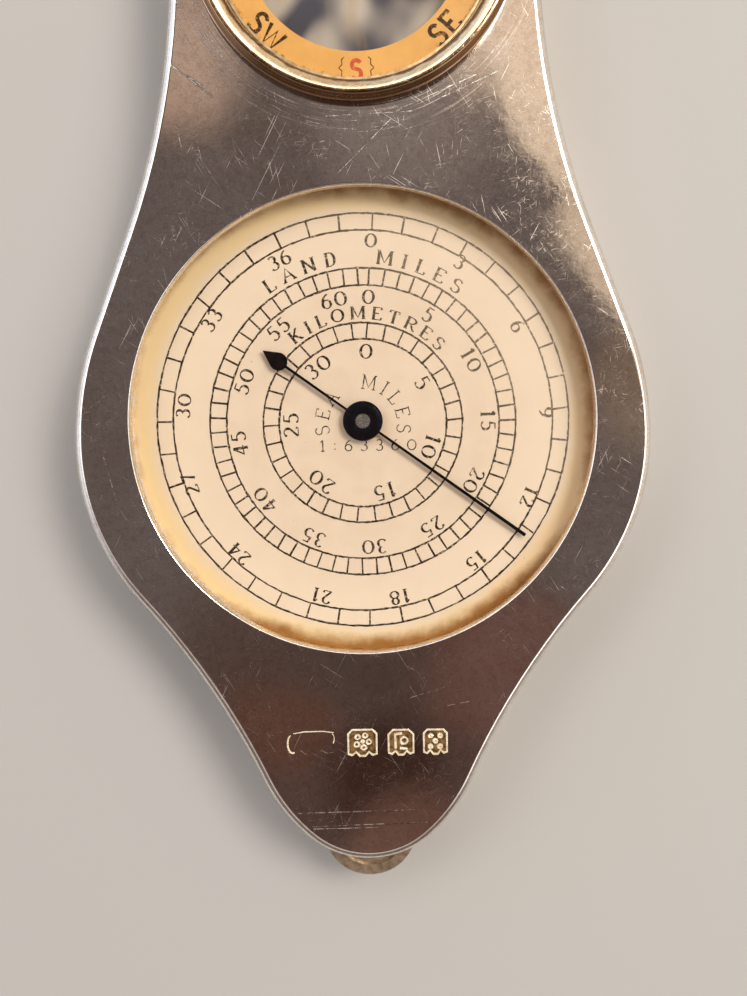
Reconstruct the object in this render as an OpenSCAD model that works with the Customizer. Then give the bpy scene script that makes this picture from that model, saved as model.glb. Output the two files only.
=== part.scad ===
// Opisometer (map measurer) with an inset compass, lying on its back.
// A flat silver case holds a dial movement that the small tracing wheel at the
// tip drives, and a compass sits in the round head. X runs across the case,
// Y along it towards the compass, and Z up through the dial. The origin is the
// pointer's axis on the back face. All lengths are in millimetres.

/* [Case] */
// Height of the case, from its back to its face
case_h = 8; // [7.9:0.05:8.4]
// Thickness of the silver sheet of face and sides
sheet = 0.8; // [0.7:0.05:0.85]
// Thickness of the back cover
cover_t = 0.9; // [0.85:0.05:0.95]
// Radius of the rounded edges of the case
edge_r = 0.8; // [0.5:0.05:0.85]

/* [Outline, from the head down to the tip] */
// Radius of the round head, and half the width of the case there
head_r = 14.6; // [14.4:0.1:15.5]
// Radius of the hollow curve of the neck
neck_r = 61.6; // [60:0.1:63]
// Angle that the neck flares to, from straight down
neck_turn = 21.33; // [21:0.01:22]
// Length of the straight stretch below the neck
flank_len = 8.86; // [8:0.01:9.5]
// Radius of the upper curve of the dial part
shoulder_r = 25.24; // [25:0.01:26]
// Radius of the lower curve of the dial part
cheek_r = 19.77; // [19.5:0.01:20.5]
// Angle that the lower curve turns in to
cheek_turn = 40.85; // [40:0.01:41.5]
// Radius of the hollow curve above the tip
throat_r = 64.31; // [63:0.01:66]
// Angle that the hollow curve gives back
throat_turn = 16.63; // [16:0.01:17]
// Radius of the curve beside the tip
chin_r = 14.85; // [14.5:0.01:15.5]
// Angle that the curve beside the tip turns
chin_turn = 25.35; // [25:0.01:26]

/* [Dial] */
// Radius of the round window in the face
window_r = 19.1; // [19:0.05:19.4]
// Place of the window's centre along the case, a little below the pointer's axis
window_y = -0.2; // [-0.25:0.05:0]
// Radius of dial card, dial plate and glass flange
dial_r = 20.3; // [20.2:0.05:20.4]
// Length of the pointer's thin end from its axis
pointer_long = 16.8; // [15:0.1:17]
// Length of the pointer's short end, to the point of the spade
pointer_short = 10.2; // [9.8:0.1:11]
// Direction of the thin end, anticlockwise from across
pointer_angle = -36; // [-180:1:180]

/* [Train] */
// Teeth of the centre wheel
centre_teeth = 48; // [48:8:48]
// Module of centre wheel and its pinion
centre_module = 0.6; // [0.6:0.1:0.6]
// Teeth of the intermediate wheel
middle_teeth = 52; // [52:4:52]
// Teeth of the idler gear
idler_teeth = 66; // [66:4:66]
// Module of the gears between tracing arbor and intermediate wheel
fine_module = 0.2; // [0.2:0.1:0.2]
// Leaves of both pinions
leaves = 8; // [8:1:8]
// Circumference of the tracing wheel, one inch on the map
wheel_round = 25.4; // [25:0.1:26]

/* [Compass] */
// Distance from the pointer's axis to the compass needle's axis
compass_y = 38.1; // [38:0.1:38.4]
// Outer radius of the gilt bezel
bezel_r = 12.9; // [12.5:0.1:13.2]
// Height of the bezel above the face
bezel_h = 1.5; // [1.2:0.1:1.8]
// Half length of the compass needle
needle_len = 8; // [7:0.1:8.4]
// Direction of the needle, anticlockwise from across
needle_angle = 155; // [0:1:360]

/* [Suspension ring] */
// Radius of the ring to the middle of its wire
ring_r = 4.6; // [4.5:0.1:5.5]
// Radius of the ring's wire
wire_r = 0.65; // [0.55:0.05:0.65]

/* [Hidden] */
$fn = 96;

// Overlap that lets a cut run clear of a face
cut = 0.5;
// Gap all round between pieces that are pressed or laid together
fit_gap = 0.02;
// Radial clearance of a pivot in its hole
run_gap = 0.03;

// Heights of the layers, from the back up
back_plate_z = 1.0;
back_plate_t = 0.8;
fine_gear_z = 2.2;
gear_t = 0.8;
centre_gear_z = 3.4;
front_plate_z = 4.4;
front_plate_t = 0.6;
wheel_z = 4.0;
wheel_t = 1.2;
dial_plate_z = front_plate_z + front_plate_t;
dial_plate_t = 0.4;
card_z = dial_plate_z + dial_plate_t;
card_t = 0.15;
hand_z = 5.9;
hand_t = 0.2;
face_under = case_h - sheet;
glass_t = 0.6;
glass_z = face_under - glass_t;
lip_top = 2.0;
lip_t = 0.6;
window_chamfer = 0.25;

// Radii of the shafts
arbor_r = 0.6;
tracing_arbor_r = 0.5;
pivot_r = 0.3;
collet_r = 1.2;
bush_r = 1.1;

// Places of the arbors, all on the long axis
middle_y = -(centre_teeth + leaves) * centre_module / 2;
idler_y = middle_y - (middle_teeth + idler_teeth) * fine_module / 2;
wheel_y = idler_y - (idler_teeth + leaves) * fine_module / 2;
wheel_r = wheel_round / (2 * PI);
slot_gap = 0.35;

// Movement plates, pillars and posts
plate_r = 18.4;
tail_half_w = 12.4;
pillar_places = [[16.8, 4], [-16.8, 4], [11.3, -18.2], [-11.3, -18.2]];
post_places = [[12.5, 19.5], [-12.5, 19.5], [8, -24], [-8, -24]];
foot_places = [[10, 14], [-10, 14]];
pillar_r = 0.9;
post_r = 1.0;
ear_r = 1.5;
thread_r = 0.4;

// Compass layers
bowl_r = 11.6;
bowl_z = 2.0;
bowl_floor_t = 0.6;
base_z = 4.0;
base_t = 0.3;
needle_z = 6.0;
needle_t = 0.15;
ring_card_z = 7.0;
ring_card_t = 0.3;
ring_card_hole_r = 8.7;
bezel_w = 1.8;

// Suspension ring and its lug
lug_y = compass_y + head_r + 1.6;
lug_z = case_h / 2;
lug_r = 1.5;
lug_half_w = 1.0;
lug_hole_r = 0.85;
lug_reach = 2.4;
lug_flange = 1.8;
lug_flange_t = 1.3;
ring_drop = asin((lug_z - wire_r) / (2 * ring_r));

// ---------- outline of the case ----------
// A station is [x, y, h]: a point of the right-hand side, and the heading h of
// the edge there, in degrees from straight down, positive towards the outside.

function last(list) = list[len(list) - 1];

function arc_to(s, r, turn) = let (side = sign(turn), h = s[2] + turn) [
    s[0] + side * r * (cos(s[2]) - cos(h)),
    s[1] + side * r * (sin(s[2]) - sin(h)),
    h
];

function arc(s, r, turn, steps) = [for (i = [1:steps]) arc_to(s, r, turn * i / steps)];

head = [for (h = [90:-5:0]) [head_r * cos(h), compass_y + head_r * sin(h), h]];
neck = arc(last(head), neck_r, neck_turn, 7);
flank = [[
    last(neck)[0] + flank_len * sin(neck_turn),
    last(neck)[1] - flank_len * cos(neck_turn),
    neck_turn
]];
shoulder = arc(last(flank), shoulder_r, -neck_turn, 5);
cheek = arc(last(shoulder), cheek_r, -cheek_turn, 9);
throat = arc(last(cheek), throat_r, throat_turn, 5);
chin = arc(last(throat), chin_r, -chin_turn, 5);
tip_r = last(chin)[0] / cos(last(chin)[2]);
tip = arc(last(chin), tip_r, -90 - last(chin)[2], 8);

right_side = concat(head, neck, flank, shoulder, cheek, throat, chin, tip);
left_side = [for (i = [len(right_side) - 2:-1:1]) let (s = right_side[i]) [-s[0], s[1], 180 - s[2]]];
stations = concat(right_side, left_side);

// The case outline, moved inwards by inset
function outline(inset) = [for (s = stations) [s[0] - inset * cos(s[2]), s[1] - inset * sin(s[2])]];

// A solid with the case outline, whose profile lists [inset, height] from the bottom up
module outline_solid(profile) {
    count = len(stations);
    rings = len(profile);
    polyhedron(
        points = [for (p = profile) for (q = outline(p[0])) [q[0], q[1], p[1]]],
        faces = concat(
            [[for (i = [count - 1:-1:0]) i]],
            [[for (i = [0:count - 1]) (rings - 1) * count + i]],
            [for (j = [0:rings - 2]) for (i = [0:count - 1]) let (k = (i + 1) % count) [
                j * count + i, j * count + k, (j + 1) * count + k, (j + 1) * count + i
            ]]
        )
    );
}

// A straight-sided slab with the case outline, moved inwards by inset
module slab(inset, z, t) {
    translate([0, 0, z]) linear_extrude(t) polygon(outline(inset));
}

// A round disc or hole at a place on the plan
module disc(r, z, t, at = [0, 0]) {
    translate([at[0], at[1], z]) cylinder(r = r, h = t);
}

// A block between two corners of the plan
module block(low, high, z, t) {
    translate([low[0], low[1], z]) cube([high[0] - low[0], high[1] - low[1], t]);
}

// ---------- case ----------

fillet_steps = [0:22.5:90];

module front_shell() {
    color("silver") difference() {
        outline_solid(concat(
            [[0, cover_t]],
            [for (a = fillet_steps) [edge_r * (1 - cos(a)), case_h - edge_r * (1 - sin(a))]]
        ));
        slab(sheet, cover_t - cut, face_under - cover_t + cut);
        disc(window_r, face_under - cut, sheet + 2 * cut, [0, window_y]);
        translate([0, window_y, case_h - window_chamfer])
            cylinder(r1 = window_r, r2 = window_r + 2 * window_chamfer, h = 2 * window_chamfer);
        disc(bowl_r + fit_gap, face_under - cut, sheet + 2 * cut, [0, compass_y]);
        disc(wheel_r + slot_gap, wheel_z - slot_gap, wheel_t + 2 * slot_gap, [0, wheel_y]);
        disc(pinion_room_r, fine_gear_z - 0.3, 2 * gear_t, [0, wheel_y]);
    }
}

module back_cover() {
    color("silver") union() {
        outline_solid(concat(
            [for (a = fillet_steps) [edge_r * (1 - sin(a)), edge_r * (1 - cos(a))]],
            [[0, cover_t]]
        ));
        difference() {
            slab(sheet + fit_gap, cover_t - 0.1, lip_top - cover_t + 0.1);
            slab(sheet + fit_gap + lip_t, cover_t - cut, lip_top);
            block([-head_r, wheel_y - 3], [head_r, wheel_y + 4], cover_t, lip_top);
        }
    }
}

module case_posts() {
    color("silver") for (p = post_places) difference() {
        disc(post_r, dial_plate_z, face_under - dial_plate_z, p);
        disc(thread_r + fit_gap, dial_plate_z - cut, 1.5 + cut, p);
    }
}

// A slotted screw whose head sits on the side that up points to
module screw(at, head_z, head_t, head_r, shank_z, shank_t, slot_z) {
    difference() {
        union() {
            disc(head_r, head_z, head_t, at);
            disc(thread_r, shank_z, shank_t, at);
        }
        block([at[0] - 2, at[1] - 0.12], [at[0] + 2, at[1] + 0.12], slot_z, 0.2);
    }
}

module case_screws() {
    color("slategray") for (p = post_places)
        screw(p, front_plate_z - 0.5, 0.5, 0.9, front_plate_z, 2, front_plate_z - 0.5);
}

module wheel_front_bush() {
    color("peru") difference() {
        intersection() {
            slab(sheet + fit_gap, face_under - 1.6, 1.6);
            block([-4, wheel_y - 3], [4, wheel_y + 2.4], face_under - 2, 3);
        }
        disc(pivot_r + run_gap, face_under - 2, 1.8, [0, wheel_y]);
    }
}

module suspension_lug() {
    color("silver") difference() {
        union() {
            translate([-lug_half_w, lug_y, lug_z]) rotate([0, 90, 0])
                cylinder(r = lug_r, h = 2 * lug_half_w);
            translate([-lug_half_w, lug_y - lug_reach, lug_z - lug_r])
                cube([2 * lug_half_w, lug_reach, 2 * lug_r]);
            translate([-lug_flange, lug_y - lug_reach, lug_z - lug_flange])
                cube([2 * lug_flange, lug_flange_t, 2 * lug_flange]);
        }
        disc(head_r + fit_gap, 0, case_h, [0, compass_y]);
        translate([-lug_half_w - cut, lug_y, lug_z]) rotate([0, 90, 0])
            cylinder(r = lug_hole_r, h = 2 * (lug_half_w + cut));
    }
}

module suspension_ring() {
    color("silver") translate([0, lug_y, lug_z]) rotate([-ring_drop, 0, 0]) translate([0, ring_r, 0])
        rotate_extrude() translate([ring_r, 0]) circle(r = wire_r);
}

// ---------- dial ----------

module dial_glass() {
    bevel = 0.3;
    boss_r = window_r - 0.05;
    color("lightcyan", 0.4) union() {
        disc(dial_r, glass_z, glass_t);
        disc(boss_r, glass_z + glass_t - 0.1, sheet - bevel, [0, window_y]);
        translate([0, window_y, case_h - 0.1 - bevel])
            cylinder(r1 = boss_r, r2 = boss_r - bevel, h = bevel);
    }
}

module dial_spacer_ring() {
    color("wheat") difference() {
        disc(dial_r, card_z + card_t, glass_z - card_z - card_t);
        disc(dial_r - 0.75, card_z, 3);
    }
}

module dial_card() {
    color("cornsilk") difference() {
        disc(dial_r, card_z, card_t);
        disc(arbor_r + 0.3, card_z - cut, 2);
    }
}

module dial_plate() {
    color("goldenrod") difference() {
        union() {
            disc(dial_r, dial_plate_z, dial_plate_t);
            for (p = foot_places) disc(0.5, front_plate_z, front_plate_t + 0.1, p);
        }
        disc(arbor_r + 0.3, dial_plate_z - cut, 2);
    }
}

// ---------- movement ----------

back_bush_places = [[0, 0], [0, middle_y], [0, idler_y]];

module movement_back_plate() {
    color("goldenrod") difference() {
        union() {
            disc(plate_r, back_plate_z, back_plate_t);
            intersection() {
                slab(sheet + lip_t + 0.2, back_plate_z, back_plate_t);
                block([-tail_half_w, wheel_y + 3.9], [tail_half_w, 0], back_plate_z, back_plate_t);
            }
            intersection() {
                slab(sheet + 0.1, back_plate_z, back_plate_t);
                block([-4.2, wheel_y - 3], [4.2, wheel_y + 3.95], back_plate_z, back_plate_t);
            }
        }
        for (p = pillar_places) disc(thread_r + 0.2, 0, 3, p);
        for (p = back_bush_places) disc(bush_r, 0, 3, p);
        disc(pivot_r + run_gap, 0, 3, [0, wheel_y]);
    }
}

module movement_front_plate() {
    color("goldenrod") difference() {
        union() {
            disc(plate_r, front_plate_z, front_plate_t);
            intersection() {
                slab(sheet + lip_t + 0.2, front_plate_z, front_plate_t);
                block([-tail_half_w, wheel_y + 3], [tail_half_w, 0], front_plate_z, front_plate_t);
            }
            for (p = [post_places[0], post_places[1]]) {
                disc(ear_r, front_plate_z, front_plate_t, p);
                translate([0, 0, front_plate_z]) rotate([0, 0, atan2(p[1], p[0])])
                    translate([plate_r - 2, -ear_r, 0]) cube([norm(p) - plate_r + 2, 2 * ear_r, front_plate_t]);
            }
        }
        disc(wheel_r + 0.45, front_plate_z - cut, 2, [0, wheel_y]);
        for (p = back_bush_places) disc(bush_r, front_plate_z - cut, 2, p);
        for (p = foot_places) disc(0.52, front_plate_z - cut, 2, p);
        for (p = post_places) disc(thread_r + 0.1, front_plate_z - cut, 2, p);
        for (p = pillar_places) {
            disc(thread_r + fit_gap, front_plate_z - cut, 2, p);
            disc(0.82, dial_plate_z - 0.4, 2, p);
        }
    }
}

module movement_pillars() {
    plates_gap_z = back_plate_z + back_plate_t;
    color("darkkhaki") for (p = pillar_places) difference() {
        union() {
            disc(pillar_r, plates_gap_z, front_plate_z - plates_gap_z, p);
            disc(thread_r + 0.2, back_plate_z, back_plate_t + 0.1, p);
        }
        disc(thread_r + fit_gap, front_plate_z - 1.7, 3, p);
    }
}

module movement_screws() {
    color("slategray") for (p = pillar_places)
        screw(p, dial_plate_z - 0.4, 0.4, 0.8, front_plate_z - 1.6, 1.9, dial_plate_z - 0.2);
}

// A bush in each plate for each arbor, bored for its pivot
module pivot_bushes() {
    color("peru") for (p = back_bush_places) {
        front_hole_r = (p[1] == 0 ? arbor_r : pivot_r) + run_gap;
        difference() {
            disc(bush_r, back_plate_z, back_plate_t, p);
            disc(pivot_r + run_gap, 0, 3, p);
        }
        difference() {
            disc(bush_r, front_plate_z, front_plate_t, p);
            disc(front_hole_r, front_plate_z - cut, 2, p);
        }
    }
}

// ---------- gears ----------
// Teeth are involute, thinned for backlash, with short tips and deep roots.

pressure = 25;
tooth_share = 0.86;
tooth_tip = 0.7;
tooth_root = 1.0;
pinion_room_r = (leaves / 2 + tooth_tip) * fine_module + 0.11;

function involute_turn(a) = tan(a) * 180 / PI - a;

// Half the angle that a tooth covers at radius r
function half_tooth(r, teeth, size) = let (
    base_r = teeth * size / 2 * cos(pressure),
    a = r > base_r ? acos(base_r / r) : 0
) 90 / teeth * tooth_share + involute_turn(pressure) - involute_turn(a);

function gear_outline(teeth, size) = let (
    pitch_r = teeth * size / 2,
    radii = [
        pitch_r - tooth_root * size,
        max(pitch_r * cos(pressure), pitch_r - 0.4 * tooth_root * size),
        pitch_r + 0.2 * size,
        pitch_r + tooth_tip * size
    ]
) [for (i = [0:teeth - 1]) for (side = [-1, 1]) for (k = [0:3]) let (
    r = radii[side < 0 ? k : 3 - k],
    a = 360 * i / teeth + side * half_tooth(r, teeth, size)
) [r * cos(a), r * sin(a)]];

module gear(teeth, size, z, t, turn = 0) {
    translate([0, 0, z]) rotate([0, 0, turn]) linear_extrude(t) polygon(gear_outline(teeth, size));
}

// The opening between two spokes, from angle start to angle end, between two radii
function spoke_window(inner_r, outer_r, half_w, start, end) = let (
    lean_out = asin(half_w / outer_r),
    lean_in = asin(half_w / inner_r)
) concat(
    [for (i = [0:8]) let (a = start + lean_out + (end - start - 2 * lean_out) * i / 8) outer_r * [cos(a), sin(a)]],
    [for (i = [4:-1:0]) let (a = start + lean_in + (end - start - 2 * lean_in) * i / 4) inner_r * [cos(a), sin(a)]]
);

// A wheel with a toothed rim, a boss and spokes, bored for its arbor
module spoked_gear(teeth, size, z, rim_w, spokes, turn = 0) {
    rim_r = teeth * size / 2 - size - rim_w;
    difference() {
        gear(teeth, size, z, gear_t, turn);
        disc(arbor_r + fit_gap, z - cut, gear_t + 2 * cut);
        for (i = [0:spokes - 1]) translate([0, 0, z - cut]) linear_extrude(gear_t + 2 * cut)
            polygon(spoke_window(collet_r + 0.5, rim_r, 0.5, 360 * i / spokes, 360 * (i + 1) / spokes));
    }
}

module centre_wheel() {
    color("gold") spoked_gear(centre_teeth, centre_module, centre_gear_z, 1.1, 5, 180 / centre_teeth);
}

module centre_arbor() {
    color("gray") union() {
        disc(pivot_r, back_plate_z, back_plate_t + 0.1);
        disc(arbor_r, back_plate_z + back_plate_t + 0.05, 4.55);
        disc(collet_r, centre_gear_z - 0.5, 0.5);
    }
}

module intermediate_wheel() {
    color("gold") translate([0, middle_y, 0])
        spoked_gear(middle_teeth, fine_module, fine_gear_z, 0.8, 5);
}

// An arbor with a pivot at each end and a collet above its lower gear
module plain_arbor() {
    disc(pivot_r, back_plate_z, front_plate_z + front_plate_t - back_plate_z);
    disc(arbor_r, back_plate_z + back_plate_t + 0.05, front_plate_z - back_plate_z - back_plate_t - 0.1);
    disc(collet_r, fine_gear_z + gear_t, 0.3);
}

module intermediate_arbor() {
    color("gray") translate([0, middle_y, 0]) union() {
        plain_arbor();
        gear(leaves, centre_module, centre_gear_z - 0.2, gear_t + 0.3);
    }
}

module idler_gear() {
    color("gold") translate([0, idler_y, 0])
        spoked_gear(idler_teeth, fine_module, fine_gear_z, 0.8, 5);
}

module idler_arbor() {
    color("gray") translate([0, idler_y, 0]) plain_arbor();
}

module tracing_arbor() {
    shoulder_z = back_plate_z + back_plate_t + 0.05;
    color("gray") translate([0, wheel_y, 0]) union() {
        disc(pivot_r, back_plate_z, face_under - 0.3 - back_plate_z);
        disc(tracing_arbor_r, shoulder_z, face_under - 1.65 - shoulder_z);
        gear(leaves, fine_module, fine_gear_z - 0.1, gear_t + 0.2);
        disc(0.8, wheel_z - 0.3, 0.3);
    }
}

// The rim is milled with fine straight teeth, so that it grips the paper
module tracing_wheel() {
    mill_teeth = 120;
    mill_depth = 0.08;
    recess_t = 0.25;
    color("rosybrown") translate([0, wheel_y, wheel_z]) difference() {
        linear_extrude(wheel_t) polygon([for (i = [0:2 * mill_teeth - 1])
            let (r = wheel_r - (i % 2) * mill_depth, a = 180 * i / mill_teeth) [r * cos(a), r * sin(a)]]);
        translate([0, 0, -cut]) cylinder(r = tracing_arbor_r + fit_gap, h = wheel_t + 2 * cut);
        for (z = [-cut, wheel_t - recess_t]) translate([0, 0, z]) difference() {
            cylinder(r = wheel_r - 0.9, h = recess_t + cut);
            cylinder(r = 1.3, h = recess_t + cut);
        }
    }
}

// ---------- pointer ----------

hub_tube_r = 0.95;

module pointer_hub() {
    hub_r = 1.68;
    color("midnightblue") difference() {
        union() {
            disc(hub_tube_r, hand_z - 0.2, hand_t + 0.3);
            disc(hub_r, hand_z + hand_t, 0.15);
            translate([0, 0, hand_z + hand_t + 0.15]) cylinder(r1 = hub_r, r2 = hub_r - 0.45, h = 0.2);
        }
        disc(arbor_r + run_gap, hand_z - 1, 3);
    }
}

module pointer_hand() {
    spade_r = 0.75;
    spade_x = pointer_short - 1.6;
    spade_half = asin(spade_r / (pointer_short - spade_x));
    color("midnightblue") translate([0, 0, hand_z]) rotate([0, 0, pointer_angle]) difference() {
        union() {
            cylinder(r = 1.45, h = hand_t);
            linear_extrude(hand_t) polygon([
                [-spade_x, -0.12], [0, -0.1], [pointer_long, -0.15],
                [pointer_long, 0.15], [0, 0.1], [-spade_x, 0.12]
            ]);
            translate([-spade_x, 0, 0]) cylinder(r = spade_r, h = hand_t);
            linear_extrude(hand_t) polygon([
                [-pointer_short, 0],
                [-spade_x - spade_r * sin(spade_half), -spade_r * cos(spade_half)],
                [-spade_x, 0],
                [-spade_x - spade_r * sin(spade_half), spade_r * cos(spade_half)]
            ]);
        }
        translate([0, 0, -cut]) cylinder(r = hub_tube_r + fit_gap, h = 2);
    }
}

// ---------- compass ----------

module compass_bowl() {
    color("goldenrod") translate([0, compass_y, 0]) difference() {
        disc(bowl_r, bowl_z, case_h - bowl_z);
        disc(bowl_r - 1.2, bowl_z + bowl_floor_t, case_h);
        disc(bowl_r - 0.7, base_z, case_h);
        disc(bowl_r - 0.4, ring_card_z, case_h);
    }
}

module compass_base_plate() {
    color("slategray") disc(bowl_r - 0.75, base_z, base_t, [0, compass_y]);
}

module compass_pivot() {
    pin_r = 0.25;
    tip_top = needle_z + 0.25;
    color("gray") translate([0, compass_y, 0]) union() {
        disc(0.8, base_z + base_t, 0.3);
        disc(pin_r, base_z + base_t, needle_z - 0.1 - base_z - base_t);
        translate([0, 0, needle_z - 0.1]) cylinder(r1 = pin_r, r2 = 0.05, h = tip_top - needle_z + 0.1);
    }
}

module compass_needle() {
    needle_half_w = 0.9;
    color("steelblue") translate([0, compass_y, needle_z]) rotate([0, 0, needle_angle]) difference() {
        linear_extrude(needle_t)
            polygon([[needle_len, 0], [0, needle_half_w], [-needle_len, 0], [0, -needle_half_w]]);
        translate([0, 0, -cut]) cylinder(r = 0.55, h = 2);
    }
}

module needle_cap() {
    color("gold") translate([0, compass_y, 0]) difference() {
        union() {
            disc(0.53, needle_z - 0.2, 0.85);
            disc(0.85, needle_z + needle_t, 0.2);
        }
        disc(0.3, needle_z - 0.2 - cut, cut + 0.5);
    }
}

module compass_ring_card() {
    color("orange") difference() {
        disc(bowl_r - 0.45, ring_card_z, ring_card_t, [0, compass_y]);
        disc(ring_card_hole_r, ring_card_z - cut, 2, [0, compass_y]);
    }
}

module compass_spacer_ring() {
    color("goldenrod") difference() {
        disc(bowl_r - 0.45, ring_card_z + ring_card_t, case_h - ring_card_z - ring_card_t, [0, compass_y]);
        disc(bowl_r - 0.65, ring_card_z, 2, [0, compass_y]);
    }
}

compass_glass_r = bowl_r - 0.1;

module compass_glass() {
    color("lightcyan", 0.4) disc(compass_glass_r, case_h, glass_t, [0, compass_y]);
}

// Half-round ring that holds the glass down in a rebate
module compass_bezel() {
    crown_z = case_h + 0.3;
    crown_h = bezel_h - 0.3;
    mid_r = bezel_r - bezel_w / 2;
    rebate_z = case_h + glass_t + 0.05;
    crown_end = 180 - asin((rebate_z - crown_z) / crown_h);
    color("darkgoldenrod") translate([0, compass_y, 0]) rotate_extrude() polygon(concat(
        [[compass_glass_r + 0.05, case_h], [bezel_r, case_h]],
        [for (i = [0:12]) let (a = crown_end * i / 12) [mid_r + bezel_w / 2 * cos(a), crown_z + crown_h * sin(a)]],
        [[compass_glass_r + 0.05, rebate_z]]
    ));
}

front_shell();
back_cover();
dial_glass();
dial_spacer_ring();
dial_card();
dial_plate();
case_posts();
case_screws();
wheel_front_bush();
suspension_lug();
suspension_ring();
movement_back_plate();
movement_front_plate();
movement_pillars();
movement_screws();
pivot_bushes();
tracing_wheel();
tracing_arbor();
idler_gear();
idler_arbor();
intermediate_wheel();
intermediate_arbor();
centre_wheel();
centre_arbor();
pointer_hub();
pointer_hand();
compass_bowl();
compass_base_plate();
compass_pivot();
compass_needle();
needle_cap();
compass_ring_card();
compass_spacer_ring();
compass_glass();
compass_bezel();
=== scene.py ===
"""Looks of a silver map measurer with an inset compass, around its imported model.

The case lies on its back: X runs across it, Y along it towards the compass and Z up through
the dial. The origin is the pointer's axis on the back face. Lengths in the functions are in
millimetres, and are turned into Blender's metres by MM where a mesh is made.
"""

import math
import random

import bpy
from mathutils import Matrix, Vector


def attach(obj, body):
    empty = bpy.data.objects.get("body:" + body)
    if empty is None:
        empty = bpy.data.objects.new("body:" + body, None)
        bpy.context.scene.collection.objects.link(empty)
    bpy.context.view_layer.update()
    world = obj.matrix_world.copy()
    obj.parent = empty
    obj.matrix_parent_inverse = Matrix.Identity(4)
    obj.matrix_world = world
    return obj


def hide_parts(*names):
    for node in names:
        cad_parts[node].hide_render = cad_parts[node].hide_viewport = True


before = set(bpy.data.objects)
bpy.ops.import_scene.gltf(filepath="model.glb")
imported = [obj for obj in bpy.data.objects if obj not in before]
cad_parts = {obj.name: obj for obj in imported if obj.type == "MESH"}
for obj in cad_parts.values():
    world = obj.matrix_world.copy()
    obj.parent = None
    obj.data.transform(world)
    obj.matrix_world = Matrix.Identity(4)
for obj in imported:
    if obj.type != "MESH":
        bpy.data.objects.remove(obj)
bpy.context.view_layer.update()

MM = 0.001

# Case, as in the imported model
CASE_H = 8.0
SHEET = 0.8
COVER_T = 0.9
EDGE_R = 0.8
SEAM_R = 0.05
HEAD_R = 14.6
COMPASS_Y = 38.1

# Dial
WINDOW_R = 19.1
WINDOW_Y = -0.2
WINDOW_EDGE = 0.17
CARD_Z = 5.55
GLASS_LOW = 6.6
GLASS_TOP = 7.9
GLASS_R = WINDOW_R - 0.06
GLASS_BEVEL = 0.3
FLANGE_R = 20.25
DIAL_TURN = 3.5

# Heights under and over the face between which openings are cut
OPENING_LOW = 4
OPENING_HIGH = 10

# Tracing wheel
WHEEL_Y = -36.0
WHEEL_R = 25.4 / (2 * math.pi)
WHEEL_LOW = 4.0
WHEEL_T = 1.2
SLOT_GAP = 0.35
FIT_GAP = 0.02

# Compass
BOWL_R = 11.6
BEZEL_R = 13.0
BEZEL_W = 1.65
RING_CARD_Z = 7.3
LETTER_R = 10.85

# Suspension ring
LUG_Y = COMPASS_Y + HEAD_R + 1.6
LUG_Z = CASE_H / 2
LUG_R = 1.5
LUG_HALF_W = 1.0
LUG_HOLE_R = 0.85
RING_R = 4.6
WIRE_R = 0.65


# ------------------------ modelling helpers


def clear_selection():
    """Object mode, with nothing selected."""
    if bpy.context.object and bpy.context.object.mode != "OBJECT":
        bpy.ops.object.mode_set(mode="OBJECT")
    bpy.ops.object.select_all(action="DESELECT")


def pick(obj):
    """Selects one object and makes it the active one."""
    clear_selection()
    bpy.context.view_layer.objects.active = obj
    obj.select_set(True)


def select_edges(obj, wanted):
    """In edit mode's edge selection, selects the edges whose two ends both pass the test."""
    bpy.ops.object.mode_set(mode="EDIT")
    bpy.ops.mesh.select_mode(type="EDGE")
    bpy.ops.mesh.select_all(action="DESELECT")
    bpy.ops.object.mode_set(mode="OBJECT")
    ends = obj.data.vertices
    for edge in obj.data.edges:
        edge.select = all(wanted(ends[i].co) for i in edge.vertices)
    bpy.ops.object.mode_set(mode="EDIT")


def settle(obj, smooth, weighted=True):
    """Puts the piece's place into its mesh, with smooth shading and flat faces kept flat."""
    pick(obj)
    bpy.ops.object.transform_apply(location=True, rotation=True, scale=True)
    bpy.ops.object.shade_smooth_by_angle(angle=math.radians(smooth))
    if weighted:
        bpy.ops.object.modifier_add(type="WEIGHTED_NORMAL")
        obj.modifiers[-1].keep_sharp = True
        bpy.ops.object.modifier_apply(modifier=obj.modifiers[-1].name)
    clear_selection()
    return obj


def close_up(obj):
    """Merges doubles, fills open ends and turns the faces outwards."""
    bpy.ops.mesh.select_all(action="SELECT")
    bpy.ops.mesh.remove_doubles(threshold=1e-7)
    bpy.ops.mesh.fill_holes(sides=0)
    bpy.ops.mesh.select_all(action="SELECT")
    bpy.ops.mesh.normals_make_consistent(inside=False)
    bpy.ops.object.mode_set(mode="OBJECT")
    return obj


def turned(name, profile, centre=(0, 0), sides=128):
    """A turned part: a circle drawn out along (radius, height) pairs. A profile that comes back
    to its first pair makes a ring, and any other is capped at both ends."""
    clear_selection()
    radius, height = profile[0]
    middle = Vector((centre[0], centre[1], 0)) * MM
    bpy.ops.mesh.primitive_circle_add(
        vertices=sides, radius=radius * MM, location=middle + Vector((0, 0, height * MM))
    )
    obj = bpy.context.object
    obj.name = name
    bpy.ops.object.mode_set(mode="EDIT")
    bpy.ops.mesh.select_all(action="SELECT")
    for new_radius, new_height in profile[1:]:
        step = (0, 0, (new_height - height) * MM)
        bpy.ops.mesh.extrude_region_move(TRANSFORM_OT_translate={"value": step})
        grow = new_radius / radius
        bpy.ops.transform.resize(value=(grow, grow, 1), center_override=middle)
        radius, height = new_radius, new_height
    return close_up(obj)


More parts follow.
